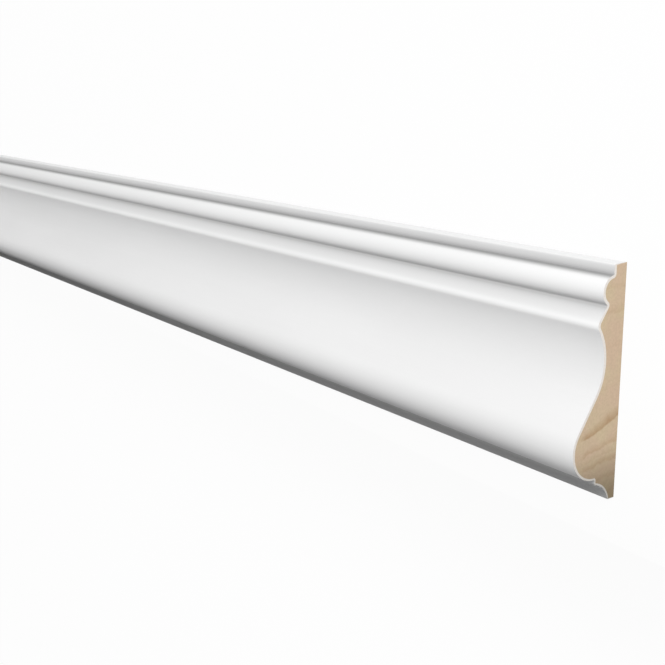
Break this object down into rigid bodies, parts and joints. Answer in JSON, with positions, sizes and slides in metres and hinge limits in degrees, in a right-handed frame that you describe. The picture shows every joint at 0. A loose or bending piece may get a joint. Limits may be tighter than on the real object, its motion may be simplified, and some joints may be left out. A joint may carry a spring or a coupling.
{
  "type": "chair rail moulding",
  "caption": "Length of white-coated softwood wall moulding: flat back, and a moulded front with fillet, bead, rounded ridge, deep ogee, bulge and cavetto, for trimming a wall at chair height.",
  "frame": {"origin": "centre of the flat back, on the floor that the moulding lies on", "axes": "+X along the length, towards the end that the picture shows near; +Y from the foot to the top edge, which is up when it is on a wall; +Z out of the wall, from the back to the moulded front"},
  "size_m": [2.438, 0.0634, 0.0171],
  "materials": {
    "coated_pine": "smooth satin white coat on the front and edges, bare sawn pine on the ends and the back"
  },
  "bodies": {
    "root": {"moulding": "coated_pine"}
  },
  "joints": []
}
